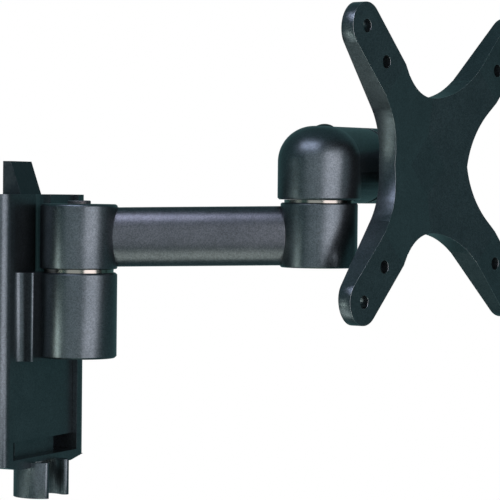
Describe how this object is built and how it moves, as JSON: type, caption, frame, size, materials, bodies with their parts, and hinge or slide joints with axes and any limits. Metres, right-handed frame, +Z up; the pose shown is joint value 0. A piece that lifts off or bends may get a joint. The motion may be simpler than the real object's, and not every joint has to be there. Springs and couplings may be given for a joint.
{
  "type": "tv wall mount",
  "caption": "Full motion wall mount with a dovetail wall unit, one swinging arm, an elbow and a tilting X-shaped plate for a small flat screen.",
  "frame": {"origin": "middle of the wall face, at half the height of the channel housing", "axes": "+Z up, +Y into the wall, so the arm reaches out along -Y; +X across, to the right seen from the room"},
  "size_m": [0.1496, 0.1661, 0.1855],
  "materials": {
    "anthracite_coat": "satin metallic anthracite powder coat on die-cast aluminium",
    "tube_coat": "satin metallic anthracite powder coat on aluminium tube",
    "black_steel": "matt black oxide steel",
    "zinc_steel": "bright zinc plated steel",
    "polished_steel": "polished steel",
    "bush_plastic": "natural acetal",
    "friction_plastic": "black filled nylon",
    "cap_plastic": "satin dark plastic"
  },
  "bodies": {
    "wall_unit": {"wall_bracket": "black_steel", "channel_housing": "anthracite_coat", "arm_base": "anthracite_coat", "base_screws": "zinc_steel", "lock_screw": "black_steel", "shoulder_bush": "bush_plastic", "shoulder_thrust_washer": "polished_steel", "shoulder_seat_washer": "zinc_steel"},
    "arm": {"shoulder_knuckle": "anthracite_coat", "arm_tube": "tube_coat", "elbow_knuckle": "anthracite_coat", "tube_pins": "zinc_steel", "shoulder_cap": "cap_plastic", "shoulder_bolt": "zinc_steel", "shoulder_spring_washers": "zinc_steel", "elbow_bush": "bush_plastic", "elbow_thrust_washer": "polished_steel", "elbow_seat_washer": "zinc_steel"},
    "elbow": {"elbow_casting": "anthracite_coat", "pivot_lock_screw": "black_steel", "elbow_bolt": "zinc_steel", "elbow_spring_washers": "zinc_steel", "tilt_bolt": "zinc_steel", "tilt_spring_washers": "zinc_steel"},
    "head": {"vesa_plate": "anthracite_coat", "tilt_bush": "bush_plastic", "tilt_friction_washer": "friction_plastic", "tilt_seat_washer": "zinc_steel"}
  },
  "joints": [
    {"name": "shoulder_swivel", "type": "hinge", "parent": "wall_unit", "child": "arm", "pos_m": [0, -0.0285, 0.022], "axis": [0, 0, 1], "range_deg": [-115.4, 64.6]},
    {"name": "elbow_swivel", "type": "hinge", "parent": "arm", "child": "elbow", "pos_m": [0.03882, -0.11025, 0.049], "axis": [0, 0, 1], "range_deg": [-50.9, 99.1]},
    {"name": "head_tilt", "type": "hinge", "parent": "elbow", "child": "head", "pos_m": [0.06738, -0.11721, 0.0628], "axis": [0.9715, -0.2368, 0], "range_deg": [-15, 15]}
  ]
}
